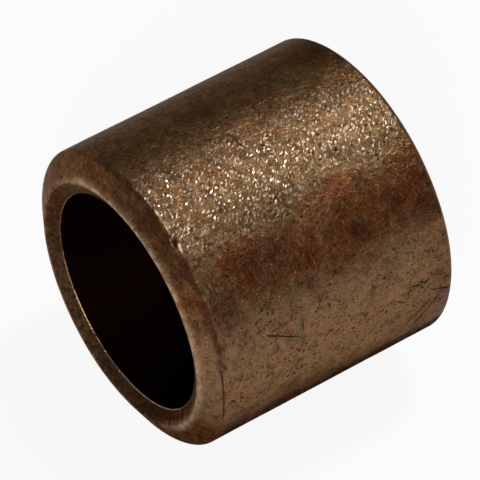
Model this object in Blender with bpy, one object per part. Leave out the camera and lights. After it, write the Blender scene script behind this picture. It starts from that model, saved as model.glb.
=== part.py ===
"""Plain bronze sleeve bushing: a 16 mm bore, 22 mm outside and 20 mm long.

The bore's axis is +Y and the origin is at the middle of the bore. The bushing
lies on its side, and the end with the wide outer chamfer faces -Y.
"""

import math

import bmesh
import bpy
from mathutils import Matrix

MM = 0.001

# Driving dimensions
OUTSIDE_RADIUS = 11.0 * MM
BORE_RADIUS = 8.0 * MM
LENGTH = 20.0 * MM

# The wide chamfer at the front: a small round, then a cone down to the end face.
# Angles are measured from the bore's axis.
FRONT_CHAMFER_LENGTH = 1.2 * MM
FRONT_ROUND_RADIUS = 0.7 * MM
FRONT_ROUND_START = math.radians(20.0)
FRONT_CHAMFER_ANGLE = math.radians(60.7)

# The edge at the back is only rounded off, where it meets the end face.
BACK_ROUND_RADIUS = 1.6 * MM
BACK_ROUND_START = math.radians(37.0)
BACK_ROUND_END = math.radians(66.0)

# Both mouths of the bore have the same flat chamfer.
BORE_CHAMFER_WIDTH = 1.0 * MM
BORE_CHAMFER_LENGTH = 0.54 * MM

# Fineness of the solid
TURNING_STEPS = 96
ROUND_STEPS = 4

BRONZE_COLOUR = (0.26, 0.17, 0.10, 1.0)
BRONZE_ROUGHNESS = 0.42
BRONZE_METALLIC = 0.9


def clear_scene():
    """Remove every object that is in the scene already."""
    for old in list(bpy.data.objects):
        bpy.data.objects.remove(old, do_unlink=True)


def round_points(radius, start, end):
    """Points of an outer edge's round, as (length, inset) from where it leaves the side.

    The round's tangent turns from start to end, both measured from the axis.
    """
    points = []
    for step in range(ROUND_STEPS + 1):
        angle = start + (end - start) * step / ROUND_STEPS
        length = radius * (math.sin(angle) - math.sin(start))
        inset = radius * (math.cos(start) - math.cos(angle))
        points.append((length, inset))
    return points


def front_edge():
    """The front chamfer, as (length, inset) points from the side to the end face."""
    points = round_points(FRONT_ROUND_RADIUS, FRONT_ROUND_START, FRONT_CHAMFER_ANGLE)
    length, inset = points[-1]
    rest = FRONT_CHAMFER_LENGTH - length
    points.append((FRONT_CHAMFER_LENGTH, inset + rest * math.tan(FRONT_CHAMFER_ANGLE)))
    return points


def back_edge():
    """The back's rounded edge, as (length, inset) points from the side to the end face."""
    return round_points(BACK_ROUND_RADIUS, BACK_ROUND_START, BACK_ROUND_END)


def end_profile(edge, side):
    """One end's outline, as (radius, y) points from the outside down to the bore.

    side is -1 for the front end and +1 for the back.
    """
    face = LENGTH / 2
    edge_length = edge[-1][0]
    outline = []
    for length, inset in edge:
        outline.append((OUTSIDE_RADIUS - inset, side * (face - edge_length + length)))
    outline.append((BORE_RADIUS + BORE_CHAMFER_WIDTH, side * face))
    outline.append((BORE_RADIUS, side * (face - BORE_CHAMFER_LENGTH)))
    return outline


def sleeve_profile():
    """The closed half section: out along the front end, then back in along the back end."""
    front = end_profile(front_edge(), -1)
    back = end_profile(back_edge(), 1)
    return list(reversed(front)) + back


def turned_mesh(name, profile):
    """Spin a closed (radius, y) outline about the Y axis into a closed mesh."""
    bm = bmesh.new()
    corners = [bm.verts.new((radius, y, 0.0)) for radius, y in profile]
    edges = []
    for here, after in zip(corners, corners[1:] + corners[:1]):
        edges.append(bm.edges.new((here, after)))
    bmesh.ops.spin(
        bm,
        geom=corners + edges,
        cent=(0.0, 0.0, 0.0),
        axis=(0.0, 1.0, 0.0),
        angle=math.tau,
        steps=TURNING_STEPS,
        use_merge=True,
    )
    # Half a step of turn puts a flat, and not a ridge, under the sleeve.
    half_step = Matrix.Rotation(math.pi / TURNING_STEPS, 3, "Y")
    bmesh.ops.rotate(bm, cent=(0.0, 0.0, 0.0), matrix=half_step, verts=bm.verts)
    bmesh.ops.recalc_face_normals(bm, faces=bm.faces)
    mesh = bpy.data.meshes.new(name)
    bm.to_mesh(mesh)
    bm.free()
    mesh.shade_smooth()
    mesh.set_sharp_from_angle(angle=math.radians(20.0))
    return mesh


def bronze_material():
    """Sintered bronze, dark with oil."""
    bronze = bpy.data.materials.new("bronze")
    bronze.use_nodes = True
    shader = bronze.node_tree.nodes["Principled BSDF"]
    shader.inputs["Base Color"].default_value = BRONZE_COLOUR
    shader.inputs["Roughness"].default_value = BRONZE_ROUGHNESS
    shader.inputs["Metallic"].default_value = BRONZE_METALLIC
    return bronze


def make_sleeve():
    """The whole bushing, which is one piece."""
    sleeve = bpy.data.objects.new("sleeve", turned_mesh("sleeve", sleeve_profile()))
    sleeve.data.materials.append(bronze_material())
    bpy.context.scene.collection.objects.link(sleeve)
    return sleeve


clear_scene()
make_sleeve()
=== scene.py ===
"""Looks of a plain bronze sleeve bushing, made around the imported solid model.

The bore's axis is +Y, the bushing lies on its side, and its widely chamfered end faces -Y.
Angles around the sleeve are measured from its top, and grow towards +X.
"""

import math
from collections import namedtuple

import bmesh
import bpy
from bpy.props import FloatProperty, FloatVectorProperty, IntProperty, PointerProperty
from mathutils import Matrix, Vector, noise


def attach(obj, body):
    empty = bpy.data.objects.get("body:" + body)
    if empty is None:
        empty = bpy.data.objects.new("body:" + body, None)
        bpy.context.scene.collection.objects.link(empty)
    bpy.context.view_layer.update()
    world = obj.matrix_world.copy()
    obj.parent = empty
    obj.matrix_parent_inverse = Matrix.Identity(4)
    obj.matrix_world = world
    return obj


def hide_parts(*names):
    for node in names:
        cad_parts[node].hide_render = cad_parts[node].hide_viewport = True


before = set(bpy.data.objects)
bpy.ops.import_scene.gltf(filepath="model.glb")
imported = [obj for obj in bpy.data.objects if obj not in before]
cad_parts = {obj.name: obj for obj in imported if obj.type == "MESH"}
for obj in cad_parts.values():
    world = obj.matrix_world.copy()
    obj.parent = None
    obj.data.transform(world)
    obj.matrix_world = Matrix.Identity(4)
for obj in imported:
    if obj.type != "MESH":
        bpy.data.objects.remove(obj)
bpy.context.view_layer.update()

bl_info = {
    "name": "Bronze Sleeve Bushing",
    "version": (1, 0, 0),
    "blender": (4, 5, 0),
    "location": "3D View > Sidebar > Bushing",
    "description": "Models a weathered bronze sleeve bushing and its studio",
    "category": "Object",
}

MM = 0.001
SAME_PLACE = 0.01 * MM

# The sleeve is turned as this many equal slices, and each rounded edge in this many steps.
SLICES = 12
ROUND_STEPS = 6

# The rings of the solid sleeve, as (radius, y)
RINGS = sorted(
    {
        (math.hypot(point.co.x, point.co.z), point.co.y)
        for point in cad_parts["sleeve"].data.vertices
    }
)


def ring_radii(y):
    """The radii of the solid's rings at this y."""
    return [radius for radius, ring_y in RINGS if abs(ring_y - y) < SAME_PLACE]


def ring_ys(radius):
    """The y of each of the solid's rings at this radius."""
    return [y for ring_radius, y in RINGS if abs(ring_radius - radius) < SAME_PLACE]


OUTSIDE_RADIUS = max(radius for radius, y in RINGS)
BORE_RADIUS = min(radius for radius, y in RINGS)
FRONT_Y = min(y for radius, y in RINGS)
BACK_Y = max(y for radius, y in RINGS)


# ---------------------------------------------------------------- settings


class SleeveSizes(bpy.types.PropertyGroup):
    """Sizes of the sleeve, taken from the solid model where it has them"""

    outside_radius: FloatProperty(
        name="Outside radius",
        description="Radius of the side that is pressed into a housing",
        default=OUTSIDE_RADIUS,
        unit="LENGTH",
    )
    bore_radius: FloatProperty(
        name="Bore radius",
        description="Radius of the hole that the shaft turns in",
        default=BORE_RADIUS,
        unit="LENGTH",
    )
    front_y: FloatProperty(
        name="Front face",
        description="Where the end with the wide chamfer stands on the axis",
        default=FRONT_Y,
        unit="LENGTH",
    )
    back_y: FloatProperty(
        name="Back face",
        description="Where the other end stands on the axis",
        default=BACK_Y,
        unit="LENGTH",
    )
    front_side_y: FloatProperty(
        name="Front end of the side",
        description="Where the straight side breaks into the wide chamfer",
        default=min(ring_ys(OUTSIDE_RADIUS)),
        unit="LENGTH",
    )
    back_side_y: FloatProperty(
        name="Back end of the side",
        description="Where the straight side breaks into the back's rounded edge",
        default=max(ring_ys(OUTSIDE_RADIUS)),
        unit="LENGTH",
    )
    front_round: FloatProperty(
        name="Front round",
        description="Radius of the round between the side and the chamfer's cone",
        default=0.7 * MM,
        unit="LENGTH",
    )
    front_round_start: FloatProperty(
        name="Front round's start",
        description="Angle to the axis at which the front round leaves the side",
        default=math.radians(20.0),
        unit="ROTATION",
    )
    front_chamfer_angle: FloatProperty(
        name="Chamfer angle",
        description="Angle of the chamfer's cone to the axis",
        default=math.radians(60.7),
        unit="ROTATION",
    )
    back_round: FloatProperty(
        name="Back round",
        description="Radius of the back's rounded edge",
        default=1.6 * MM,
        unit="LENGTH",
    )
    back_round_start: FloatProperty(
        name="Back round's start",
        description="Angle to the axis at which the back round leaves the side",
        default=math.radians(37.0),
        unit="ROTATION",
    )
    back_round_end: FloatProperty(
        name="Back round's end",
        description="Angle to the axis at which the back round meets the end face",
        default=math.radians(66.0),
        unit="ROTATION",
    )
    edge_break: FloatProperty(
        name="Edge break",
        description="Width of the worn strip along each crisp edge",
        default=0.05 * MM,
        unit="LENGTH",
    )
    steps_in_slice: IntProperty(
        name="Steps in a slice",
        description="Number of faces around each twelfth of the sleeve",
        default=35,
        min=8,
    )
    row: FloatProperty(
        name="Row",
        description="Length of a face along the section, outside the bore",
        default=0.17 * MM,
        unit="LENGTH",
    )
    bore_row: FloatProperty(
        name="Bore row",
        description="Length of a face along the bore",
        default=0.7 * MM,
        unit="LENGTH",
    )
    rim_row: FloatProperty(
        name="Rim row",
        description="Length of the first face inside each end of the bore",
        default=0.07 * MM,
        unit="LENGTH",
    )


class BronzeColours(bpy.types.PropertyGroup):
    """Colours of oiled, tarnished bronze"""

    # Tan: the bronze's own lighter tone, also painted where the floor's reflection falls on the +X
    # side
    tan: FloatVectorProperty(
        name="Tan",
        description="Bronze with little tarnish",
        subtype="COLOR",
        default=(0.385, 0.178, 0.094),
    )
    dun: FloatVectorProperty(
        name="Dun",
        description="Greener patches in the tan",
        subtype="COLOR",
        default=(0.300, 0.176, 0.083),
    )
    # Painted reflection: the grey sheen of the back edge's round, low on the +X side of the back end
    sheen_grey: FloatVectorProperty(
        name="Ashen",
        description="Scuffed metal at the back edge",
        subtype="COLOR",
        default=(0.260, 0.180, 0.165),
    )
    brown: FloatVectorProperty(
        name="Brown",
        description="Usual tarnish",
        subtype="COLOR",
        default=(0.188, 0.085, 0.027),
    )
    olive: FloatVectorProperty(
        name="Olive",
        description="Greenish tarnish",
        subtype="COLOR",
        default=(0.135, 0.085, 0.034),
    )
    red: FloatVectorProperty(
        name="Red",
        description="Reddish tarnish",
        subtype="COLOR",
        default=(0.232, 0.066, 0.018),
    )
    pale: FloatVectorProperty(
        name="Pale",
        description="Lighter mottling",
        subtype="COLOR",
        default=(0.40, 0.235, 0.125),
    )
    # Painted highlight colour for the front crest, the bore's rims and the front kink, and the colour
    # of the burnished burrs
    worn: FloatVectorProperty(
        name="Worn",
        description="Bronze rubbed clean along the edges",
        subtype="COLOR",
        default=(0.72, 0.47, 0.30),
    )
    # Maroon: dark red stains, and also the painted shade on the strip beside the front kink
    maroon: FloatVectorProperty(
        name="Maroon",
        description="Dark red stains",
        subtype="COLOR",
        default=(0.060, 0.010, 0.009),
    )
    # Bare bronze, painted as glints on the flakes in the key light's highlight band and as highlights
    # on the crest, rims and kink
    bare_glint: FloatVectorProperty(
        name="Bare bronze",
        description="Flakes of the grain and worn edges",
        subtype="COLOR",
        default=(0.84, 0.67, 0.53),
    )
    # Dark: darker mottling and specks, and the painted shadow in the gaps between the glinting flakes
    dark: FloatVectorProperty(
        name="Dark",
        description="Darker mottling",
        subtype="COLOR",
        default=(0.040, 0.016, 0.007),
    )
    # Grime in the bore's mouths; the same name also carries the painted shade beside the front kink
    grime_and_shade: FloatVectorProperty(
        name="Grime",
        description="Old dirt in the bore's mouths",
        subtype="COLOR",
        default=(0.042, 0.017, 0.008),
    )
    # Pore colour: dirt in the pores and scratches, also used as painted shade on the lower side and
    # beside the front kink
    pore_dirt_and_shade: FloatVectorProperty(
        name="Pit",
        description="Dirt in the pores",
        subtype="COLOR",
        default=(0.016, 0.008, 0.005),
    )
    edge_tint: FloatVectorProperty(
        name="Edge tint",
        description="How much the bronze shines where it is seen at a shallow angle",
        subtype="COLOR",
        default=(0.62, 0.52, 0.46),
    )
    # Painted shade on reflections: the dark specular tint of the lower side, which is painted nearly
    # black
    underside_shade_tint: FloatVectorProperty(
        name="Sooty edge tint",
        description="The same, where the bronze is black with soot",
        subtype="COLOR",
        default=(0.060, 0.022, 0.016),
    )
    # Near black: old oil in the bore, and painted shade for its dark inside
    bore: FloatVectorProperty(
        name="Bore",
        description="Old oil in the bore",
        subtype="COLOR",
        default=(0.008, 0.0014, 0.0007),
    )


class StudioSettings(bpy.types.PropertyGroup):
    """The floor, the lights and the camera"""

    floor_colour: FloatVectorProperty(
        name="Floor",
        description="Colour of the floor",
        subtype="COLOR",
        default=(0.60, 0.60, 0.60),
    )
    floor_glow: FloatProperty(
        name="Floor glow",
        description="How much of the floor's shading the camera doesn't see",
        default=0.85,
        min=0.0,
        max=1.0,
        subtype="FACTOR",
    )
    key_watts: FloatProperty(
        name="Key",
        description="Power of the small light overhead",
        default=0.44,
    )
    fill_watts: FloatProperty(
        name="Fill",
        description="Power of the large soft light overhead",
        default=0.14,
    )
    side_watts: FloatProperty(
        name="Side",
        description="Power of the large soft light in front, on the right",
        default=3.2,
    )
    surround: FloatProperty(
        name="Surround",
        description="Brightness of the room",
        default=0.14,
    )
    azimuth: FloatProperty(
        name="Azimuth",
        description="Direction that the camera looks from, from -Y towards +X",
        default=math.radians(54.76),
        unit="ROTATION",
    )
    elevation: FloatProperty(
        name="Elevation",
        description="Height of the camera above the horizon",
        default=math.radians(46.63),
        unit="ROTATION",
    )
    distance: FloatProperty(
        name="Distance",
        description="From the middle of the bore to the camera",
        default=322.6 * MM,
        unit="LENGTH",
    )
    lens: FloatProperty(
        name="Lens",
        description="Focal length of the camera, in millimetres",
        default=355.9,
    )
    aim_right: FloatProperty(
        name="Aim to the right",
        description="How far right of the bore's middle the camera aims",
        default=-0.097 * MM,
        unit="LENGTH",
    )
    aim_up: FloatProperty(
        name="Aim up",
        description="How far above the bore's middle the camera aims",
        default=0.182 * MM,
        unit="LENGTH",
    )


# ---------------------------------------------------------------- the section


def round_points(radius, start, end):
    """Points of an outer edge's round, as (length, inset) from where it leaves the side."""
    points = []
    for step in range(ROUND_STEPS + 1):
        angle = start + (end - start) * step / ROUND_STEPS
        length = radius * (math.sin(angle) - math.sin(start))
        inset = radius * (math.cos(start) - math.cos(angle))
        points.append((length, inset))
    return points


def rim_point(sizes, bore_y, mouth_radius, face_y):
    """A point on a mouth's chamfer, a little more than one rim row out from the bore."""
    length = math.hypot(mouth_radius - sizes.bore_radius, face_y - bore_y)
    share = 1.3 * sizes.rim_row / length
    radius = sizes.bore_radius + share * (mouth_radius - sizes.bore_radius)
    return radius, bore_y + share * (face_y - bore_y)


def sleeve_section(sizes):
    """The closed half section as (radius, y): the front end outwards, then the back end inwards."""
    front_mouth = min(ring_radii(sizes.front_y))
    front_face = max(ring_radii(sizes.front_y))
    back_mouth = min(ring_radii(sizes.back_y))
    bore_ys = ring_ys(sizes.bore_radius)
    outline = [
        (sizes.bore_radius, min(bore_ys) + sizes.rim_row),
        (sizes.bore_radius, min(bore_ys)),
        rim_point(sizes, min(bore_ys), front_mouth, sizes.front_y),
        (front_mouth, sizes.front_y),
        (front_face, sizes.front_y),
    ]
    front = round_points(sizes.front_round, sizes.front_round_start, sizes.front_chamfer_angle)
    for length, inset in reversed(front):
        outline.append((sizes.outside_radius - inset, sizes.front_side_y - length))
    back = round_points(sizes.back_round, sizes.back_round_start, sizes.back_round_end)
    for length, inset in back:
        outline.append((sizes.outside_radius - inset, sizes.back_side_y + length))
    outline.append((back_mouth, sizes.back_y))
    outline.append(rim_point(sizes, max(bore_ys), back_mouth, sizes.back_y))
    outline.append((sizes.bore_radius, max(bore_ys)))
    outline.append((sizes.bore_radius, max(bore_ys) - sizes.rim_row))
    return outline


def crisp_rings(sizes):
    """The crisp edges of the sleeve, as (radius, y)."""
    front_radii = ring_radii(sizes.front_y)
    back_radii = ring_radii(sizes.back_y)
    bore_ys = ring_ys(sizes.bore_radius)
    return [
        (sizes.outside_radius, sizes.front_side_y),
        (max(front_radii), sizes.front_y),
        (min(front_radii), sizes.front_y),
        (sizes.bore_radius, min(bore_ys)),
        (sizes.outside_radius, sizes.back_side_y),
        (max(back_radii), sizes.back_y),
        (min(back_radii), sizes.back_y),
        (sizes.bore_radius, max(bore_ys)),
    ]


def section_place(point):
    """A point's (radius, y)."""
    return math.hypot(point.x, point.z), point.y


def around(point):
    """A point's angle around the sleeve, in degrees."""
    return math.degrees(math.atan2(point.x, point.z))


def spin_about_bore(bm, angle, steps, use_duplicate):
    """Spin all of the mesh about the bore's axis."""
    bmesh.ops.spin(
        bm,
        geom=bm.verts[:] + bm.edges[:] + bm.faces[:],
        cent=(0.0, 0.0, 0.0),
        axis=(0.0, 1.0, 0.0),
        angle=angle,
        steps=steps,
        use_duplicate=use_duplicate,
    )


def turned_sleeve(sizes):
    """Spin the section about the bore's axis, in rows and steps fine enough to wear and dent."""
    bm = bmesh.new()
    outline = sleeve_section(sizes)
    corners = [bm.verts.new((radius, y, 0.0)) for radius, y in outline]
    for here, after in zip(corners, corners[1:] + corners[:1]):
        bm.edges.new((here, after))
    for edge in list(bm.edges):
        in_bore = all(end.co.x < sizes.bore_radius + SAME_PLACE for end in edge.verts)
        row = sizes.bore_row if in_bore else sizes.row
        cuts = int(edge.calc_length() / row)
        if cuts:
            bmesh.ops.subdivide_edges(bm, edges=[edge], cuts=cuts)
    slice_angle = math.tau / SLICES
    spin_about_bore(bm, slice_angle, sizes.steps_in_slice, use_duplicate=False)
    spin_about_bore(bm, math.tau - slice_angle, SLICES - 1, use_duplicate=True)
    bmesh.ops.remove_doubles(bm, verts=bm.verts, dist=SAME_PLACE / 2)
    bmesh.ops.recalc_face_normals(bm, faces=bm.faces)
    break_edges(bm, sizes)
    return bm


def break_edges(bm, sizes):
    """Bevel the crisp rings a little, as handling does."""
    on_ring = {}
    for number, ring in enumerate(crisp_rings(sizes)):
        for vert in bm.verts:
            if abs(vert.co.y - ring[1]) < SAME_PLACE:
                if abs(section_place(vert.co)[0] - ring[0]) < SAME_PLACE:
                    on_ring[vert] = number
    crisp = []
    for edge in bm.edges:
        start, end = edge.verts
        if start in on_ring and on_ring[start] == on_ring.get(end):
            crisp.append(edge)
    bmesh.ops.bevel(
        bm,
        geom=crisp,
        offset=sizes.edge_break,
        offset_type="OFFSET",
        segments=2,
        profile=0.5,
        affect="EDGES",
        clamp_overlap=True,
        material=-1,
    )


# ---------------------------------------------------------------- wear


def soft_step(low, high, value):
    """0 below low, 1 above high, and smooth between."""
    share = min(max((value - low) / (high - low), 0.0), 1.0)
    return share * share * (3.0 - 2.0 * share)


def bump_at(value, centre, width):
    """1 at centre, falling smoothly to 0 at width from it."""
    return 1.0 - soft_step(0.0, width, abs(value - centre))


Stain = namedtuple("Stain", "angle y half_width strength")
Tarnish = namedtuple("Tarnish", "kind start end border strength")
Scratch = namedtuple("Scratch", "angle y end_angle end_y half_width depth")
Burr = namedtuple("Burr", "angle radius y half_width height")

# Dark red stains on the side: degrees around, y and half width in millimetres, and strength
STAINS = (
    Stain(52.5, 3.3, 0.8, 1.0),
    Stain(50.0, 2.6, 0.8, 0.3),
    Stain(50.0, 6.7, 0.7, 0.8),
    Stain(47.0, 6.4, 0.6, 0.4),
    Stain(58.0, 0.9, 0.4, 0.7),
    Stain(56.0, 8.8, 1.1, 0.6),
    Stain(47.0, -4.2, 1.8, 0.5),
    Stain(54.0, -1.1, 0.8, 0.5),
    Stain(58.0, -7.8, 1.2, 0.5),
    Stain(62.0, -1.3, 0.4, 0.7),
    Stain(-22.0, 8.5, 2.0, 0.7),
    Stain(-16.0, -0.9, 0.9, 0.5),
    Stain(44.0, 8.6, 1.0, 0.5),
    Stain(38.0, -9.3, 0.7, 0.5),
    Stain(14.0, -9.2, 0.7, 0.6),
    Stain(26.0, -9.2, 0.7, 0.5),
    Stain(110.0, -7.5, 1.4, 0.7),
    Stain(110.0, -4.0, 1.4, 0.5),
    Stain(83.0, 8.8, 0.8, 0.5),
    Stain(94.0, 8.8, 2.2, 0.35),
    Stain(104.0, 6.5, 1.6, 0.35),
    Stain(73.0, 9.0, 1.2, 0.3),
    Stain(170.0, -3.0, 2.4, 0.7),
    Stain(200.0, 4.0, 3.0, 0.8),
    Stain(255.0, -5.0, 2.2, 0.7),
    Stain(285.0, 3.0, 1.8, 0.6),
)

# How tarnish, painted shade and painted highlights lie around the sleeve: what kind, from and to in
# degrees, border and strength
TARNISH = (
    Tarnish("greened", 8.0, 33.0, 8.0, 0.9),
    Tarnish("olive_front", 30.0, 56.0, 6.0, 1.0),
    Tarnish("reddened", 37.0, 57.0, 7.0, 1.0),
    # Partly a painted reflection: this tan on the +X side lies where the floor's light is reflected
    Tarnish("tanned", 61.0, 107.0, 7.0, 1.0),
    Tarnish("reddened", 114.0, 150.0, 7.0, 0.8),
    Tarnish("greened", 150.0, 195.0, 9.0, 0.8),
    Tarnish("tanned", 205.0, 250.0, 8.0, 0.8),
    Tarnish("reddened", 262.0, 292.0, 9.0, 0.7),
    # Painted shade: the lower side, from 113 to 174 degrees, darkened nearly black
    Tarnish("sooty", 113.0, 174.0, 6.5, 1.0),
    # Painted glints: the band of bright flakes, where the key light's highlight falls
    Tarnish("shiny", 4.0, 30.0, 8.0, 1.0),
    # Painted highlights: the crest and the bore's rims are lighter within these angles
    Tarnish("bright_crest", -42.0, 142.0, 15.0, 1.0),
    Tarnish("bright_rim", -60.0, 190.0, 12.0, 1.0),
    # Painted shade: a dull dark strip beside the front kink, which hides the round's highlight there
    Tarnish("grimy_kink", 31.0, 78.0, 5.0, 1.0),
    # Smaller patches of bright flakes further round
    Tarnish("shiny", 150.0, 200.0, 9.0, 0.8),
    Tarnish("shiny", 258.0, 275.0, 9.0, 0.5),
)

# Scratches and nicks on the outside: from (degrees around, y) to (degrees around, y),
# then half width and depth, in millimetres
SCRATCHES = (
    Scratch(72.3, -5.26, 75.6, -4.10, 0.09, 0.045),
    Scratch(75.4, -4.25, 78.9, -2.95, 0.06, 0.035),
    Scratch(72.5, -2.43, 77.1, -2.59, 0.05, 0.025),
    Scratch(83.3, 6.35, 84.2, 6.95, 0.08, 0.045),
    Scratch(83.4, 7.05, 84.6, 7.40, 0.07, 0.045),
    Scratch(89.9, 8.00, 92.6, 9.25, 0.07, 0.045),
    Scratch(94.5, 8.60, 107.5, 6.50, 0.10, 0.050),
    Scratch(94.5, 7.90, 102.0, 6.10, 0.06, 0.030),
    Scratch(73.4, 0.45, 73.4, 0.60, 0.09, 0.050),
    Scratch(65.2, 0.05, 65.2, 0.20, 0.08, 0.045),
    Scratch(77.0, -9.10, 103.0, -9.04, 0.06, 0.030),
    Scratch(-0.9, -0.95, 7.5, -0.85, 0.06, 0.012),
    Scratch(26.2, -8.83, 28.2, -8.92, 0.18, 0.150),
    Scratch(12.6, -8.84, 13.2, -8.90, 0.10, 0.060),
    Scratch(19.4, -8.86, 20.0, -8.88, 0.07, 0.050),
    Scratch(-118.0, -9.05, -117.0, -9.15, 0.15, 0.100),
    Scratch(160.0, 2.00, 166.0, 3.40, 0.08, 0.030),
    Scratch(221.0, -4.00, 226.0, -4.60, 0.08, 0.030),
    Scratch(238.0, 5.00, 239.0, 7.20, 0.06, 0.025),
)

# Raised burrs: degrees around, radius and y, half width and height, in millimetres
BURRS = (
    Burr(28.6, 10.99, -8.70, 0.16, 0.070),
    Burr(29.5, 10.99, -8.72, 0.16, 0.080),
    Burr(30.4, 10.99, -8.74, 0.15, 0.070),
    Burr(31.3, 10.99, -8.76, 0.12, 0.050),
    Burr(14.2, 10.98, -8.74, 0.10, 0.050),
    Burr(10.5, 10.98, -8.76, 0.09, 0.045),
    Burr(21.6, 10.98, -8.75, 0.08, 0.040),
    Burr(188.0, 8.02, -9.46, 0.12, 0.060),
    Burr(201.0, 8.02, -9.46, 0.10, 0.050),
    Burr(176.0, 8.02, -9.46, 0.10, 0.045),
    Burr(214.0, 8.02, -9.46, 0.09, 0.045),
)


# The numbers that each point carries for the material; several place painted shade and painted
# highlights
MASKS = (
    "side",
    "greened",
    "reddened",
    "tanned",
    "sooty",
    "shiny",
    "scuffed",
    "stained",
    "worn",
    "dirt",
    "dulled",
    "mouth",
    "bore",
)

# Scratches lie above this share of the outside radius. Faces are cut finer this near to the
# edge of a scratch or burr, in millimetres, where their edges are longer than the last length.
OUTSIDE_SHARE = 0.95
NEAR_SCRATCH = 0.13
NEAR_BURR = 0.08
LONG_EDGE = 0.1 * MM

# No scratch reaches further along the sleeve from its start than this.
SCRATCH_REACH = 3.0 * MM

# How deep under the outside each of these still reaches, and how far the side's finish
# runs on past its ends
SIDE_DEPTH = 0.06 * MM
SIDE_PAST = 0.1 * MM
STAIN_DEPTH = 1.9 * MM
KINK_DEPTH = 0.2 * MM
KINK_SHADE_DEPTH = 0.5 * MM

# The front kink is where the side breaks into the wide chamfer: the half widths of the painted
# highlight along it and of the dull strip with painted shade just outside it, and the latter's shift.
KINK_WIDTH = 0.10 * MM
KINK_SHADE_WIDTH = 0.42 * MM
KINK_SHADE_SHIFT = 0.18 * MM

# Half width of the painted highlight along the crest on the front face, and width of the bore's rims,
# which carry painted highlights
CREST_WIDTH = 0.60 * MM
RIM_WIDTH = 0.07 * MM

# The bore's mask starts below this height over the bore, and the mouth's from a little above,
# to just under the front face's inner edge.
BORE_HEIGHT = 0.05 * MM
MOUTH_START = 0.06 * MM
MOUTH_END = 0.03 * MM

# The olive front fades out between these y, and the flakes with painted glints get fewer between
# these.
OLIVE_FADE = (-8.6 * MM, -5.4 * MM)
FLAKE_FADE = (-2.0 * MM, 8.0 * MM)

# The painted sheen on the back edge: the y that it starts and is full at, its angle and its half
# width
BACK_SHEEN_START = (7.7 * MM, 8.8 * MM)
BACK_SHEEN_ANGLE = 101.0
BACK_SHEEN_WIDTH = 16.0

# How far the outside swells and sinks in broad, middling and small waves
BROAD_SWELL = 0.016 * MM
MIDDLING_SWELL = 0.006 * MM
SMALL_SWELL = 0.003 * MM


class Section:
    """The places on the section that masks start and end at, found once for all spots."""

    def __init__(self, sizes):
        bore_ys = ring_ys(sizes.bore_radius)
        front_radii = ring_radii(sizes.front_y)
        self.outside_radius = sizes.outside_radius
        self.side_start = sizes.front_side_y
        self.side_end = sizes.back_side_y
        self.bore_start = min(bore_ys) + RIM_WIDTH
        self.bore_end = max(bore_ys) - RIM_WIDTH
        self.bore_top = sizes.bore_radius + BORE_HEIGHT
        self.mouth_start = sizes.bore_radius + MOUTH_START
        self.mouth_end = min(front_radii) - MOUTH_END
        self.crest_radius = (min(front_radii) + max(front_radii)) / 2


class Spot:
    """A point of the sleeve: where it is on the section and around it, and the noises there."""

    def __init__(self, point, section):
        self.point = point
        self.radius, self.y = section_place(point)
        self.angle = around(point)
        self.depth = section.outside_radius - self.radius
        self.front = self.y < section.side_start
        along_side = section.side_start - SIDE_PAST < self.y < section.side_end + SIDE_PAST
        self.on_side = self.depth < SIDE_DEPTH and along_side
        place = point / MM
        self.broad = noise.noise(place * 0.22)
        self.middling = noise.noise(place * 0.9 + Vector((7.0, 3.0, 1.0)))
        self.small = noise.noise(place * 2.2 + Vector((1.0, 9.0, 4.0)))
        # How far the borders of the tarnish wander here, in degrees
        self.wander = 9.0 * self.broad + 5.0 * self.middling + 3.0 * self.small


def turn_between(angle, middle):
    """How far an angle is from middle, in degrees, from -180 to 180."""
    return (angle - middle + 180.0) % 360.0 - 180.0


def stain_at(spot):
    """How strongly the outside is stained at a spot."""
    strength = 0.0
    for stain in STAINS:
        across = math.radians(turn_between(spot.angle, stain.angle)) * OUTSIDE_RADIUS
        distance = math.hypot(across, spot.y - stain.y * MM)
        half_width = stain.half_width * MM
        fade = soft_step(0.2 * half_width, 1.7 * half_width, distance)
        strength = max(strength, stain.strength * (1.0 - fade))
    return strength


def tarnish_at(kind, angle, wander):
    """How strongly one kind of zone from the table of tarnish, painted shade and painted highlights
    lies at an angle, its borders moved by wander degrees.
    """
    strength = 0.0
    for zone in TARNISH:
        if zone.kind == kind:
            half = (zone.end - zone.start) / 2
            away = abs(turn_between(angle + wander, zone.start + half))
            fade = soft_step(half - zone.border, half + zone.border, away)
            strength = max(strength, zone.strength * (1.0 - fade))
    return strength


def from_scratch(point, scratch):
    """Distance in metres from a point to a scratch's middle line, along the outside."""
    right = math.radians(turn_between(around(point), scratch.angle)) * OUTSIDE_RADIUS
    up = point.y - scratch.y * MM
    reach = math.radians(scratch.end_angle - scratch.angle) * OUTSIDE_RADIUS
    rise = (scratch.end_y - scratch.y) * MM
    share = (right * reach + up * rise) / (reach * reach + rise * rise)
    share = min(max(share, 0.0), 1.0)
    return math.hypot(right - share * reach, up - share * rise)


def from_burr(point, burr):
    """Distance in metres from a point to a burr's middle."""
    turned = math.radians(burr.angle)
    radius = burr.radius * MM
    top = Vector((math.sin(turned) * radius, burr.y * MM, math.cos(turned) * radius))
    return (point - top).length


def near_mark(point):
    """Whether a point is in or close to a scratch or a burr."""
    if section_place(point)[0] > OUTSIDE_RADIUS * OUTSIDE_SHARE:
        for mark in SCRATCHES:
            if from_scratch(point, mark) < (mark.half_width + NEAR_SCRATCH) * MM:
                return True
    return any(from_burr(point, mark) < (mark.half_width + NEAR_BURR) * MM for mark in BURRS)


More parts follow.
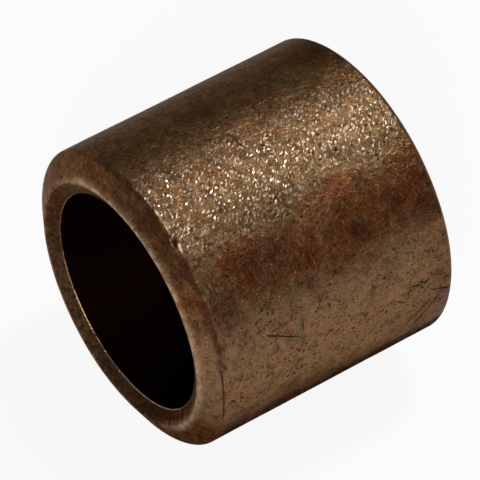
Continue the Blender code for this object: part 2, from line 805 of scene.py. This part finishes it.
def refine_marks(bm):
    """Cut the faces finer around every scratch, nick and burr."""
    near = set()
    for vert in bm.verts:
        # Every burr is on the front half, and every scratch outside this ball.
        may_be_marked = vert.co.y < FRONT_Y / 2 or vert.co.length > OUTSIDE_RADIUS * 0.99
        if may_be_marked and near_mark(vert.co):
            near.add(vert)
    edges = {edge for vert in near for edge in vert.link_edges if edge.calc_length() > LONG_EDGE}
    bmesh.ops.subdivide_edges(bm, edges=list(edges), cuts=2, use_grid_fill=True)


def marks_at(spot):
    """How far a spot is raised by burrs and sunk by scratches, and both kinds as masks."""
    depth = 0.0
    dirt = 0.0
    if spot.radius > OUTSIDE_RADIUS * OUTSIDE_SHARE:
        for mark in SCRATCHES:
            half_width = mark.half_width * MM
            if abs(spot.y - mark.y * MM) < SCRATCH_REACH:
                distance = from_scratch(spot.point, mark)
                inside = 1.0 - soft_step(0.2 * half_width, 1.2 * half_width, distance)
                depth = max(depth, inside * mark.depth * MM)
                dirt = max(dirt, inside)
    height = 0.0
    shine = 0.0
    for mark in BURRS:
        half_width = mark.half_width * MM
        if abs(spot.y - mark.y * MM) < half_width:
            inside = 1.0 - soft_step(0.0, half_width, from_burr(spot.point, mark))
            height = max(height, inside * mark.height * MM)
            shine = max(shine, inside)
    return height - depth, dirt, shine


def tarnish_masks(spot):
    """The zones of tarnish, the painted shade on the lower side, the stains, and the painted sheen on
    the back edge.
    """
    # Painted shade on the lower side, weaker on the front end
    underside_shade = tarnish_at("sooty", spot.angle, 0.25 * spot.wander)
    back_sheen_share = bump_at(spot.angle, BACK_SHEEN_ANGLE, BACK_SHEEN_WIDTH)
    masks = {
        "reddened": tarnish_at("reddened", spot.angle, spot.wander),
        "tanned": tarnish_at("tanned", spot.angle, spot.wander),
        "sooty": underside_shade * (0.35 if spot.front else 1.0),
        # Painted reflection: a grey sheen on the back edge
        "scuffed": 0.8 * soft_step(*BACK_SHEEN_START, spot.y) * back_sheen_share,
        "stained": stain_at(spot) if spot.depth < STAIN_DEPTH else 0.0,
    }
    if spot.on_side:
        at_front = 1.0 - soft_step(*OLIVE_FADE, spot.y + 0.6 * spot.middling * MM)
        olive = at_front * tarnish_at("olive_front", spot.angle, spot.wander)
        masks["greened"] = max(tarnish_at("greened", spot.angle, spot.wander), olive)
        masks["reddened"] *= 1.0 - 0.8 * olive
        fading = 1.0 - 0.35 * soft_step(*FLAKE_FADE, spot.y)
        # Painted glints: where the bright flakes lie
        masks["shiny"] = fading * tarnish_at("shiny", spot.angle, spot.wander)
    return masks


def bore_masks(spot, section):
    """The oily bore, also darkened as painted shade, and its grimy mouths, which are painted lighter
    where the crest's painted highlight lies.
    """
    masks = {}
    if spot.radius < section.bore_top and section.bore_start < spot.y < section.bore_end:
        masks["bore"] = 1.0
    if section.mouth_start < spot.radius < section.mouth_end:
        # The mouth is painted lighter where the crest's painted highlight lies
        masks["mouth"] = 1.0 - 0.7 * tarnish_at("bright_crest", spot.angle, 0.0)
    return masks


def highlight_at(spot, section):
    """How brightly the crest, the bore's rims and the front kink are painted with highlights at a
    spot.
    """
    # Painted highlights along the crest, the bore's rims and the front kink, patchy by noise
    crest = 0.0
    if spot.front:
        crest = bump_at(spot.radius, section.crest_radius, CREST_WIDTH)
        bright = tarnish_at("bright_crest", spot.angle, spot.wander)
        crest *= 0.14 + 0.70 * bright + 0.5 * spot.middling + 0.6 * spot.small
    rim = 0.0
    if spot.radius < section.bore_top and not section.bore_start < spot.y < section.bore_end:
        bright = tarnish_at("bright_rim", spot.angle, spot.wander)
        rim = 0.15 + 0.85 * bright + 0.5 * spot.middling + 0.4 * spot.small
    kink = 0.0
    if spot.depth < KINK_DEPTH:
        kink = bump_at(spot.y, section.side_start, KINK_WIDTH) * (0.6 + 1.2 * spot.small)
        kink *= tarnish_at("shiny", spot.angle, 3.0 * spot.middling)
    return max(crest, rim, kink)


def edge_masks(spot, section, dirt, shine):
    """The painted highlights and burnished burrs along the edges, and the dull strip with painted
    shade beside the front kink.
    """
    # Painted shade on the dull strip beside the front kink
    grime_and_shade = 0.0
    if spot.depth < KINK_SHADE_DEPTH:
        grime_and_shade = bump_at(spot.y, section.side_start - KINK_SHADE_SHIFT, KINK_SHADE_WIDTH)
        grime_and_shade *= tarnish_at("grimy_kink", spot.angle, 0.0)
    patchy_shade = min(grime_and_shade * (0.35 + 0.8 * spot.small), 1.0)
    unburred = 1.0 - min(2.0 * shine, 1.0)
    return {
        "worn": min(max(highlight_at(spot, section), 2.0 * shine, 0.0), 1.0),
        "dulled": grime_and_shade * unburred,
        "dirt": max(dirt, patchy_shade) * unburred,
    }


def wear_and_mask(bm, sizes):
    """Make the turned sleeve uneven and marked, and note on each point which finish, painted shade
    and painted highlight it has.
    """
    layers = {name: bm.verts.layers.float.new(name) for name in MASKS}
    section = Section(sizes)
    moves = []
    refine_marks(bm)
    bm.normal_update()
    for vert in bm.verts:
        spot = Spot(vert.co, section)
        side = 1.0 if spot.on_side else 0.0
        raised, dirt, shine = marks_at(spot)
        masks = {"side": side}
        masks.update(tarnish_masks(spot))
        masks.update(bore_masks(spot, section))
        masks.update(edge_masks(spot, section, dirt, shine))
        for name, share in masks.items():
            vert[layers[name]] = share
        swell = spot.broad * BROAD_SWELL
        swell += spot.middling * MIDDLING_SWELL * (0.4 + 0.6 * side)
        swell += spot.small * SMALL_SWELL * side
        moves.append((vert, vert.normal * (swell + raised)))
    for vert, move in moves:
        vert.co += move


# ---------------------------------------------------------------- materials

# The flakes: how they are turned about Z, their lengths along the axes against the cells',
# and how far each leans
FLAKE_TURN = math.radians(135.0)
FLAKE_LENGTHS = (1.8, 0.72, 1.0)
FLAKE_LEAN = 0.34

# Height of the skin's fine unevenness
SKIN_DEPTH = 0.07 * MM

# How bright the camera sees the floor
FLOOR_WHITE = 1.04


class Nodes:
    """Builds one material's node tree, in plain steps."""

    def __init__(self, name):
        self.material = bpy.data.materials.new(name)
        self.material.use_nodes = True
        self.tree = self.material.node_tree
        self.shader = self.tree.nodes["Principled BSDF"]
        where = self.tree.nodes.new("ShaderNodeTexCoord")
        scaled = self.tree.nodes.new("ShaderNodeMapping")
        scaled.inputs["Scale"].default_value = (1 / MM, 1 / MM, 1 / MM)
        self.tree.links.new(where.outputs["Object"], scaled.inputs["Vector"])
        self.millimetres = scaled.outputs["Vector"]

    def feed(self, socket, value):
        """Link a socket to an output, or set it to a plain value."""
        if isinstance(value, bpy.types.NodeSocket):
            self.tree.links.new(value, socket)
        else:
            socket.default_value = value

    def math(self, operation, first, second, clamp=False):
        node = self.tree.nodes.new("ShaderNodeMath")
        node.operation = operation
        node.use_clamp = clamp
        self.feed(node.inputs[0], first)
        self.feed(node.inputs[1], second)
        return node.outputs[0]

    def times(self, first, second):
        return self.math("MULTIPLY", first, second)

    def noise(self, per_mm, detail, roughness, distortion=0.0, shift=0.0):
        node = self.tree.nodes.new("ShaderNodeTexNoise")
        node.noise_dimensions = "4D"
        self.feed(node.inputs["Vector"], self.millimetres)
        node.inputs["W"].default_value = shift
        node.inputs["Scale"].default_value = per_mm
        node.inputs["Detail"].default_value = detail
        node.inputs["Roughness"].default_value = roughness
        node.inputs["Distortion"].default_value = distortion
        return node.outputs["Fac"]

    def noise_vector(self, per_mm, detail):
        """A noise colour, whose parts run from 0 to 1."""
        node = self.tree.nodes.new("ShaderNodeTexNoise")
        self.feed(node.inputs["Vector"], self.millimetres)
        node.inputs["Scale"].default_value = per_mm
        node.inputs["Detail"].default_value = detail
        return node.outputs["Color"]

    def cells(self, per_mm, place):
        """Voronoi cells, as (distance from the cell's middle, a random colour for each cell)."""
        node = self.tree.nodes.new("ShaderNodeTexVoronoi")
        self.feed(node.inputs["Vector"], place)
        node.inputs["Scale"].default_value = per_mm
        return node.outputs["Distance"], node.outputs["Color"]

    def specks(self, per_mm, place, share, size):
        """Spots of many sizes in some of the cells: 1 inside, and soft at the border."""
        distance, colour = self.cells(per_mm, place)
        reach = self.between(self.part(colour, 0), 1.0 - share, 1.0, 0.0, size)
        return self.between(self.math("SUBTRACT", distance, reach), -0.12, 0.0, 1.0, 0.0)

    def stretched(self, vector, turn, lengths):
        """Turn a place about Z, and stretch the pattern read there by a length on each axis."""
        node = self.tree.nodes.new("ShaderNodeMapping")
        node.vector_type = "TEXTURE"
        self.feed(node.inputs["Vector"], vector)
        node.inputs["Rotation"].default_value = (0.0, 0.0, turn)
        node.inputs["Scale"].default_value = lengths
        return node.outputs["Vector"]

    def vector(self, operation, first, second=(0.0, 0.0, 0.0)):
        node = self.tree.nodes.new("ShaderNodeVectorMath")
        node.operation = operation
        self.feed(node.inputs[0], first)
        self.feed(node.inputs[1], second)
        return node.outputs["Vector"]

    def scaled(self, vector, factor):
        node = self.tree.nodes.new("ShaderNodeVectorMath")
        node.operation = "SCALE"
        self.feed(node.inputs[0], vector)
        self.feed(node.inputs["Scale"], factor)
        return node.outputs["Vector"]

    def part(self, vector, axis):
        """One part of a vector or colour."""
        node = self.tree.nodes.new("ShaderNodeSeparateXYZ")
        self.feed(node.inputs[0], vector)
        return node.outputs[axis]

    def between(self, value, low, high, to_low=0.0, to_high=1.0):
        """Map low..high to to_low..to_high, smoothly and clamped."""
        node = self.tree.nodes.new("ShaderNodeMapRange")
        node.interpolation_type = "SMOOTHSTEP"
        self.feed(node.inputs["Value"], value)
        node.inputs["From Min"].default_value = low
        node.inputs["From Max"].default_value = high
        node.inputs["To Min"].default_value = to_low
        node.inputs["To Max"].default_value = to_high
        return node.outputs["Result"]

    def mix(self, share, first, second):
        """Mix two colours."""
        node = self.tree.nodes.new("ShaderNodeMix")
        node.data_type = "RGBA"
        self.feed(node.inputs[0], share)
        for socket, value in ((node.inputs[6], first), (node.inputs[7], second)):
            if not isinstance(value, bpy.types.NodeSocket):
                value = (*value, 1.0)
            self.feed(socket, value)
        return node.outputs[2]

    def blend(self, share, first, second):
        """Mix two numbers."""
        node = self.tree.nodes.new("ShaderNodeMix")
        node.data_type = "FLOAT"
        self.feed(node.inputs[0], share)
        self.feed(node.inputs[2], first)
        self.feed(node.inputs[3], second)
        return node.outputs[0]

    def mask(self, name):
        node = self.tree.nodes.new("ShaderNodeAttribute")
        node.attribute_name = name
        return node.outputs["Fac"]

    def bump(self, height, depth, under):
        """Raise the surface by height times depth, in metres, over a normal that it has already."""
        node = self.tree.nodes.new("ShaderNodeBump")
        node.inputs["Strength"].default_value = 1.0
        node.inputs["Distance"].default_value = depth
        self.feed(node.inputs["Height"], height)
        self.feed(node.inputs["Normal"], under)
        return node.outputs["Normal"]


class Grain:
    """The noises that every part of the bronze's finish is made from."""

    def __init__(self, make):
        self.blotches = make.noise(0.8, 5.0, 0.62, shift=5.0)
        self.patches = make.noise(1.5, 4.0, 0.60, 0.3, shift=7.0)
        self.mottle = make.noise(3.2, 4.0, 0.70, 0.6, shift=9.0)
        self.fine = make.noise(7.0, 2.0, 0.60, shift=4.0)
        self.hue = make.noise(1.3, 3.0, 0.60, 0.4, shift=21.0)
        warp = make.vector("SUBTRACT", make.noise_vector(2.4, 2.0), (0.5, 0.5, 0.5))
        # Places bent by up to a quarter of a millimetre, so that no speck is round
        self.bent = make.vector("ADD", make.millimetres, make.scaled(warp, 0.45))


def tarnish_shade_and_sheen(make, grain, colours, underside_shade):
    """The zones of tarnish, from the usual brown, through the tan with its painted reflection and the
    painted sheen on the back edge, to the painted shade underneath.
    """
    colour = make.mix(make.between(grain.blotches, 0.36, 0.64), colours.brown, colours.olive)
    smooth = make.math("SUBTRACT", 1.0, make.math("MAXIMUM", make.mask("side"), make.mask("mouth")))
    colour = make.mix(make.times(smooth, 0.30), colour, colours.red)
    green = make.times(make.mask("greened"), make.between(grain.blotches, 0.30, 0.50, 0.5, 1.0))
    colour = make.mix(green, colour, colours.olive)
    red = make.times(make.mask("reddened"), make.between(grain.blotches, 0.32, 0.58, 0.2, 0.95))
    colour = make.mix(red, colour, colours.red)
    # Tan: partly the bronze's own tone, partly a painted reflection of the floor on the +X side
    tan = make.times(make.mask("tanned"), make.between(grain.mottle, 0.30, 0.55, 0.55, 1.0))
    tans = make.mix(make.between(grain.hue, 0.36, 0.57), colours.tan, colours.dun)
    colour = make.mix(tan, colour, tans)
    # Painted reflection: the back edge's grey sheen
    colour = make.mix(make.mask("scuffed"), colour, colours.sheen_grey)
    # Painted shade: the lower side mixed towards the near-black pore colour
    return make.mix(underside_shade, colour, colours.pore_dirt_and_shade)


def mottled(make, grain, colours, colour):
    """Lighter and darker mottling over the tarnish."""
    lighter = make.math(
        "ADD",
        make.between(grain.mottle, 0.50, 0.70, 0.0, 0.26),
        make.between(grain.patches, 0.48, 0.64, 0.0, 0.28),
    )
    lighter = make.math("ADD", lighter, make.between(grain.fine, 0.54, 0.68, 0.0, 0.40))
    colour = make.mix(lighter, colour, colours.pale)
    darker = make.math(
        "ADD",
        make.between(grain.mottle, 0.28, 0.50, 0.45, 0.0),
        make.between(grain.patches, 0.34, 0.52, 0.36, 0.0),
    )
    darker = make.math("ADD", darker, make.between(grain.fine, 0.30, 0.47, 0.6, 0.0), clamp=True)
    return make.mix(darker, colour, colours.dark)


def speckled(make, grain, colours, colour, pits):
    """Light specks, dark red stains, dark grain and freckles, and dirty pits."""
    tanned = make.mask("tanned")
    light = make.times(make.specks(5.1, grain.bent, 0.45, 0.42), make.blend(tanned, 0.4, 1.0))
    colour = make.mix(make.times(light, 0.85), colour, colours.pale)
    stain = make.times(make.mask("stained"), make.between(grain.mottle, 0.30, 0.60, 1.0, 0.7))
    colour = make.mix(stain, colour, colours.maroon)
    dark = make.times(make.specks(6.3, grain.bent, 0.60, 0.45), make.blend(tanned, 0.15, 0.45))
    colour = make.mix(dark, colour, colours.dark)
    freckles = make.specks(4.1, grain.bent, 0.50, 0.40)
    freckles = make.times(freckles, make.between(grain.patches, 0.40, 0.60, 1.0, 0.75))
    colour = make.mix(freckles, colour, colours.dark)
    return make.mix(make.times(pits, 0.75), colour, colours.pore_dirt_and_shade)


def grime_shade_and_highlights(make, grain, colours, colour):
    """Painted highlights on the edges, the painted shade beside the kink, dirty scratches, grimy
    mouths and the oily bore with its painted shade.
    """
    # Painted highlights: the crest, rims, kink and burrs mixed towards the rubbed colour, patchy by
    # noise
    lit_share = make.between(make.math("ADD", grain.mottle, grain.fine), 0.80, 1.2, 0.42, 1.0)
    colour = make.mix(make.times(make.mask("worn"), lit_share), colour, colours.worn)
    # Painted shade beside the front kink, in maroon and in the pore colour, with the dirt in the
    # scratches
    colour = make.mix(make.times(make.mask("dulled"), 0.4), colour, colours.maroon)
    colour = make.mix(make.times(make.mask("dirt"), 0.9), colour, colours.pore_dirt_and_shade)
    grimy = make.times(make.mask("mouth"), make.between(grain.mottle, 0.35, 0.60, 0.95, 0.66))
    colour = make.mix(grimy, colour, colours.grime_and_shade)
    # Old oil and painted shade: the bore near black
    return make.mix(make.mask("bore"), colour, colours.bore)


def bronze_material(colours):
    """Sintered bronze: zones of tarnish, flakes with painted glints and painted shadow between them,
    painted shade and highlights, dirty pores, a smoother end and a dark bore.
    """
    make = Nodes("bronze")
    grain = Grain(make)
    worn = make.mask("worn")
    shiny = make.mask("shiny")

    # Bare flakes, each a stretched cell with a colour of its own, painted as glints in the highlight
    # band, and the painted shadow of the dark gaps between
    stretched = make.stretched(grain.bent, FLAKE_TURN, FLAKE_LENGTHS)
    flake, flake_colour = make.cells(4.6, stretched)
    present = make.between(make.part(flake_colour, 1), 0.15, 0.50)
    present = make.times(present, make.between(grain.blotches, 0.28, 0.46))
    glinting_flakes = make.times(make.between(flake, 0.26, 0.50, 1.0, 0.0), present)
    glinting_flakes = make.math("MAXIMUM", make.times(glinting_flakes, shiny), make.between(worn, 0.7, 1.0))
    shaded_gaps = make.times(make.between(flake, 0.36, 0.58, 0.0, 0.55), shiny)
    pits = make.specks(2.0, grain.bent, 0.55, 0.30)
    # How strongly the lower side is painted with shade
    shade_patchiness = make.between(grain.blotches, 0.30, 0.60, 1.2, 1.0)
    underside_shade = make.math("MULTIPLY", make.mask("sooty"), shade_patchiness, clamp=True)

    colour = tarnish_shade_and_sheen(make, grain, colours, underside_shade)
    colour = mottled(make, grain, colours, colour)
    colour = speckled(make, grain, colours, colour, pits)
    # Painted shadow in the gaps between the flakes, and painted glints on the flakes
    colour = make.mix(shaded_gaps, colour, colours.dark)
    colour = make.mix(make.times(glinting_flakes, 0.55), colour, colours.bare_glint)
    make.feed(make.shader.inputs["Base Color"], grime_shade_and_highlights(make, grain, colours, colour))

    rough = make.between(grain.mottle, 0.35, 0.65, 0.41, 0.27)
    rough = make.blend(glinting_flakes, rough, 0.28)
    rough = make.blend(make.math("MAXIMUM", pits, make.mask("dirt")), rough, 0.8)
    rough = make.blend(make.mask("dulled"), rough, 0.85)
    rough = make.blend(make.math("MAXIMUM", make.mask("bore"), underside_shade), rough, 0.6)
    make.feed(make.shader.inputs["Roughness"], rough)
    # Painted shade on reflections: the lower side's specular tint is dark, except where the edges
    # carry painted highlights
    reflection_shade = make.times(underside_shade, make.math("SUBTRACT", 1.0, worn))
    tint = make.mix(reflection_shade, colours.edge_tint, colours.underside_shade_tint)
    make.feed(make.shader.inputs["Specular Tint"], tint)
    make.shader.inputs["Metallic"].default_value = 0.95

    # Each flake leans its own way, and the fine mottle raises the skin around the pits
    tilt = make.vector("SUBTRACT", flake_colour, (0.5, 0.5, 0.5))
    tilt = make.scaled(tilt, make.times(glinting_flakes, FLAKE_LEAN))
    facing = make.tree.nodes.new("ShaderNodeNewGeometry").outputs["Normal"]
    tilted = make.vector("NORMALIZE", make.vector("ADD", facing, tilt))
    height = make.math("ADD", grain.mottle, make.times(grain.fine, 0.3))
    height = make.times(height, make.blend(make.mask("side"), 0.3, 1.0))
    height = make.math("SUBTRACT", height, make.times(pits, 0.4))
    height = make.times(height, make.blend(glinting_flakes, 1.0, 0.3))
    make.feed(make.shader.inputs["Normal"], make.bump(height, SKIN_DEPTH, tilted))
    return make.material


def floor_material(colour, glow):
    """A matt pale floor that the camera sees nearly white, with faint shadows."""
    make = Nodes("floor")
    make.shader.inputs["Base Color"].default_value = (*colour, 1.0)
    make.shader.inputs["Roughness"].default_value = 0.9
    make.shader.inputs["Specular IOR Level"].default_value = 0.2
    white = make.tree.nodes.new("ShaderNodeEmission")
    white.inputs["Strength"].default_value = FLOOR_WHITE
    path = make.tree.nodes.new("ShaderNodeLightPath")
    either = make.tree.nodes.new("ShaderNodeMixShader")
    make.feed(either.inputs[0], make.math("MULTIPLY", path.outputs["Is Camera Ray"], glow))
    make.feed(either.inputs[1], make.shader.outputs[0])
    make.feed(either.inputs[2], white.outputs[0])
    make.feed(make.tree.nodes["Material Output"].inputs["Surface"], either.outputs[0])
    return make.material


# ---------------------------------------------------------------- pieces and studio

# How far the floor runs from its middle, in metres
FLOOR_REACH = 3.0

# The camera's sensor, in millimetres, and what it can see, in metres
SENSOR_WIDTH = 36.0
CLIP_START = 0.01
CLIP_END = 100.0

# The soft lights, each with its place and its size in metres
SOFTBOXES = (
    ("key", (-0.011, 0.119, 0.275), (0.045, 0.09)),
    ("fill", (-0.03, 0.25, 0.58), (0.40, 0.60)),
    ("side", (0.42, -0.36, 0.34), (0.30, 0.30)),
)


def link(item):
    """Put an object into the scene."""
    bpy.context.scene.collection.objects.link(item)
    return item


class OBJECT_OT_bushing_sleeve(bpy.types.Operator):
    """Make the weathered bronze sleeve"""

    bl_idname = "object.bushing_sleeve"
    bl_label = "Sleeve"

    def execute(self, context):
        sizes = context.scene.bushing_sizes
        bm = turned_sleeve(sizes)
        wear_and_mask(bm, sizes)
        mesh = bpy.data.meshes.new("bronze_sleeve")
        bm.to_mesh(mesh)
        bm.free()
        mesh.shade_smooth()
        sleeve = link(bpy.data.objects.new("bronze_sleeve", mesh))
        mesh.materials.append(bronze_material(context.scene.bushing_colours))
        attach(sleeve, "root")
        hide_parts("sleeve")
        return {"FINISHED"}


def camera_turn(studio):
    """The camera's axes in the world, as (right, up, back)."""
    across = math.sin(studio.azimuth)
    along = math.cos(studio.azimuth)
    level = math.cos(studio.elevation)
    right = Vector((along, across, 0.0))
    back = Vector((across * level, -along * level, math.sin(studio.elevation)))
    return right, back.cross(right), back


def add_camera(studio):
    """A long lens, aimed near the middle of the bore."""
    right, up, back = camera_turn(studio)
    data = bpy.data.cameras.new("camera")
    data.lens = studio.lens
    data.sensor_width = SENSOR_WIDTH
    data.clip_start = CLIP_START
    data.clip_end = CLIP_END
    camera = link(bpy.data.objects.new("camera", data))
    turn = Matrix((right, up, back)).transposed()
    camera.matrix_world = Matrix.Translation(
        back * studio.distance + right * studio.aim_right + up * studio.aim_up
    ) @ turn.to_4x4()
    bpy.context.scene.camera = camera


def add_softbox(name, place, size, watts):
    """A rectangular soft light that faces the middle of the bore."""
    data = bpy.data.lights.new(name, "AREA")
    data.shape = "RECTANGLE"
    data.size, data.size_y = size
    data.energy = watts
    lamp = link(bpy.data.objects.new(name, data))
    lamp.location = place
    lamp.rotation_euler = (-place).to_track_quat("-Z", "Y").to_euler()


def add_room(surround):
    """A dim room that the camera sees as white."""
    world = bpy.data.worlds.new("room")
    world.use_nodes = True
    tree = world.node_tree
    seen = tree.nodes["Background"]
    seen.inputs["Color"].default_value = (1.0, 1.0, 1.0, 1.0)
    seen.inputs["Strength"].default_value = 1.0
    felt = tree.nodes.new("ShaderNodeBackground")
    felt.inputs["Color"].default_value = (1.0, 1.0, 1.0, 1.0)
    felt.inputs["Strength"].default_value = surround
    path = tree.nodes.new("ShaderNodeLightPath")
    either = tree.nodes.new("ShaderNodeMixShader")
    tree.links.new(path.outputs["Is Camera Ray"], either.inputs[0])
    tree.links.new(felt.outputs[0], either.inputs[1])
    tree.links.new(seen.outputs[0], either.inputs[2])
    tree.links.new(either.outputs[0], tree.nodes["World Output"].inputs["Surface"])
    bpy.context.scene.world = world


class OBJECT_OT_bushing_stage(bpy.types.Operator):
    """Make the floor, the soft lights and the camera"""

    bl_idname = "object.bushing_stage"
    bl_label = "Studio"

    def execute(self, context):
        studio = context.scene.bushing_studio
        sizes = context.scene.bushing_sizes
        bm = bmesh.new()
        bmesh.ops.create_grid(bm, x_segments=1, y_segments=1, size=FLOOR_REACH)
        bmesh.ops.translate(bm, verts=bm.verts, vec=(0.0, 0.0, -sizes.outside_radius))
        mesh = bpy.data.meshes.new("floor")
        bm.to_mesh(mesh)
        bm.free()
        floor = link(bpy.data.objects.new("floor", mesh))
        mesh.materials.append(floor_material(studio.floor_colour, studio.floor_glow))
        add_room(studio.surround)
        for name, place, size in SOFTBOXES:
            add_softbox(name, Vector(place), size, getattr(studio, name + "_watts"))
        add_camera(studio)
        context.scene.view_settings.view_transform = "Standard"
        return {"FINISHED"}


class VIEW3D_PT_bushing(bpy.types.Panel):
    """Buttons and settings of the bushing"""

    bl_label = "Bronze Bushing"
    bl_space_type = "VIEW_3D"
    bl_region_type = "UI"
    bl_category = "Bushing"

    def draw(self, context):
        layout = self.layout
        for maker in MAKERS:
            layout.operator(maker.bl_idname)
        for name in SETTINGS:
            group = getattr(context.scene, name)
            for prop in group.bl_rna.properties:
                if prop.identifier not in ("rna_type", "name"):
                    layout.prop(group, prop.identifier)


SETTINGS = {
    "bushing_sizes": SleeveSizes,
    "bushing_colours": BronzeColours,
    "bushing_studio": StudioSettings,
}
MAKERS = (OBJECT_OT_bushing_sleeve, OBJECT_OT_bushing_stage)


def register():
    for item in (*SETTINGS.values(), *MAKERS, VIEW3D_PT_bushing):
        bpy.utils.register_class(item)
    for name, group in SETTINGS.items():
        setattr(bpy.types.Scene, name, PointerProperty(type=group))


def unregister():
    for name in SETTINGS:
        delattr(bpy.types.Scene, name)
    for item in reversed((*SETTINGS.values(), *MAKERS, VIEW3D_PT_bushing)):
        bpy.utils.unregister_class(item)


def main():
    """Register the add-on, and make every piece and the studio."""
    register()
    bpy.ops.object.bushing_sleeve()
    bpy.ops.object.bushing_stage()


if __name__ == "__main__":
    main()
